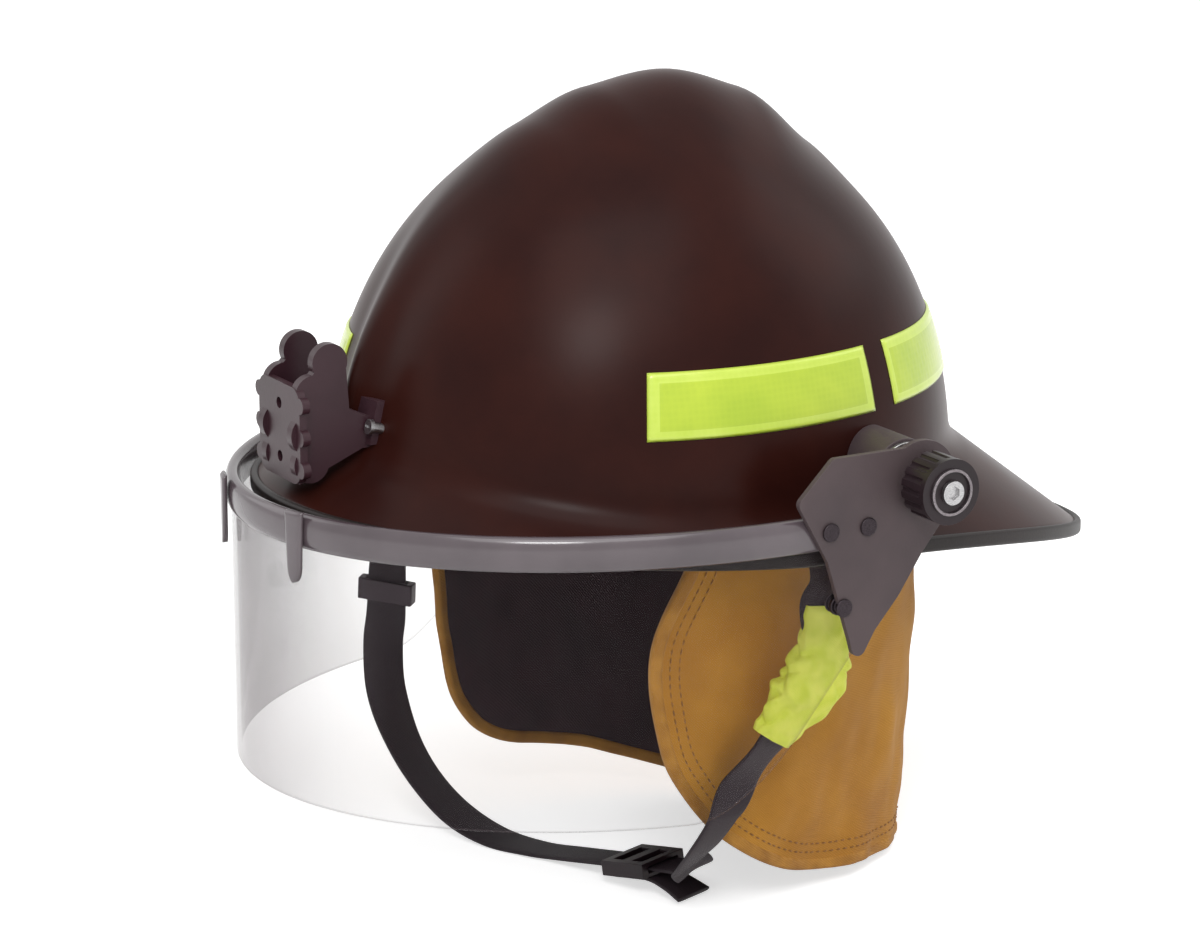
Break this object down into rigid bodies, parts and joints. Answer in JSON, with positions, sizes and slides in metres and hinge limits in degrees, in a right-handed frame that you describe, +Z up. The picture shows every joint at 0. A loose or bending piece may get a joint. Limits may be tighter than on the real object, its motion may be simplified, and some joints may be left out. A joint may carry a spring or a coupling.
{
  "type": "firefighter helmet",
  "caption": "Domed fire helmet with a central crest, swing-up clear face shield, badge holder, long rear brim, neck flap, chin strap and ratchet headband.",
  "frame": {"origin": "on the helmet's middle plane at the height of the face shield frame's top edge, under the middle of the dome: where the head sits", "axes": "+Z up, -Y the wearer's front, +X the wearer's left"},
  "size_m": [0.302, 0.3572, 0.3149],
  "materials": {
    "shell_thermoplastic": "moulded, satin gloss",
    "edge_rubber": "moulded",
    "liner_foam": "moulded foam",
    "crown_webbing": "woven webbing",
    "pad_cloth": "knitted cotton",
    "band_plastic": "moulded",
    "knob_plastic": "moulded, ribbed",
    "holder_plastic": "moulded",
    "steel": "zinc plated",
    "frame_plastic": "moulded, glossy",
    "clear_polycarbonate": "clear sheet",
    "plate_plastic": "moulded",
    "flap_cloth": "aramid twill",
    "lining_cloth": "knitted lining",
    "binding_tape": "woven tape",
    "chin_webbing": "woven nylon",
    "lime_cloth": "woven cloth",
    "lime_reflective": "prismatic tape"
  },
  "bodies": {
    "helmet": {"badge_holder": "holder_plastic", "brim_edge_trim": "edge_rubber", "brow_pad": "pad_cloth", "crown_pad": "pad_cloth", "crown_straps": "crown_webbing", "flap_binding": "binding_tape", "flap_hook_band": "lining_cloth", "flap_lining": "lining_cloth", "friction_washer_left": "edge_rubber", "friction_washer_right": "edge_rubber", "headband": "band_plastic", "holder_screws": "steel", "impact_liner": "liner_foam", "knob_spring_left": "steel", "knob_spring_right": "steel", "nape_pad": "pad_cloth", "neck_flap": "flap_cloth", "pivot_bracket_left": "holder_plastic", "pivot_bracket_right": "holder_plastic", "rack_keepers": "band_plastic", "ratchet_cover": "band_plastic", "ratchet_housing": "band_plastic", "shell": "shell_thermoplastic", "strap_hanger_left": "steel", "strap_hanger_right": "steel", "suspension_hangers": "band_plastic", "trim_front_right": "lime_reflective", "trim_rear_left": "lime_reflective", "trim_rear_right": "lime_reflective", "trim_side_left": "lime_reflective", "trim_side_right": "lime_reflective"},
    "visor": {"visor_frame": "frame_plastic", "visor_lens": "clear_polycarbonate", "visor_clips": "frame_plastic", "visor_rivets": "plate_plastic", "visor_plate_left": "plate_plastic", "visor_plate_right": "plate_plastic", "pivot_bush_left": "band_plastic", "pivot_bush_right": "band_plastic"},
    "knob_left": {"visor_knob_left": "knob_plastic", "knob_ring_left": "steel", "knob_screw_left": "steel"},
    "knob_right": {"visor_knob_right": "knob_plastic", "knob_ring_right": "steel", "knob_screw_right": "steel"},
    "ratchet_knob": {"ratchet_knob": "knob_plastic", "ratchet_pinion": "knob_plastic"},
    "left_rack": {"left_rack": "band_plastic"},
    "right_rack": {"right_rack": "band_plastic"},
    "chin_strap": {"chin_strap": "chin_webbing", "strap_sleeve": "lime_cloth", "strap_slider": "steel"},
    "buckle": {"strap_buckle": "knob_plastic", "strap_tail": "chin_webbing"}
  },
  "joints": [
    {"name": "visor_pivot", "type": "hinge", "parent": "helmet", "child": "visor", "pos_m": [0, 0.041, 0.009], "axis": [-1, 0, 0], "range_deg": [0, 85]},
    {"name": "left_knob_turn", "type": "hinge", "parent": "helmet", "child": "knob_left", "pos_m": [0.142, 0.041, 0.009], "axis": [1, 0, 0], "range_deg": [0, 270]},
    {"name": "right_knob_turn", "type": "hinge", "parent": "helmet", "child": "knob_right", "pos_m": [-0.142, 0.041, 0.009], "axis": [-1, 0, 0], "range_deg": [0, 270]},
    {"name": "ratchet_turn", "type": "hinge", "parent": "helmet", "child": "ratchet_knob", "pos_m": [0, 0.105, -0.004], "axis": [0, 1, 0], "range_deg": [-90, 90]},
    {"name": "left_rack_slide", "type": "hinge", "parent": "helmet", "child": "left_rack", "pos_m": [0, 0.015, -0.004], "axis": [0, 0, 1], "range_deg": [-7, 7]},
    {"name": "right_rack_slide", "type": "hinge", "parent": "helmet", "child": "right_rack", "pos_m": [0, 0.015, -0.004], "axis": [0, 0, 1], "range_deg": [-7, 7]},
    {"name": "chin_strap_swing", "type": "hinge", "parent": "helmet", "child": "chin_strap", "pos_m": [0.102, 0.017, -0.025], "axis": [-0.915, -0.4034, 0], "range_deg": [0, 20]},
    {"name": "buckle_slide", "type": "slide", "parent": "chin_strap", "child": "buckle", "axis": [0.9432, 0.2863, 0.1684], "range_m": [-0.009, 0.009]}
  ],
  "couplings": [
    {"joint": "left_rack_slide", "follows": "ratchet_turn", "ratio": -0.074166},
    {"joint": "right_rack_slide", "follows": "ratchet_turn", "ratio": 0.074166}
  ]
}
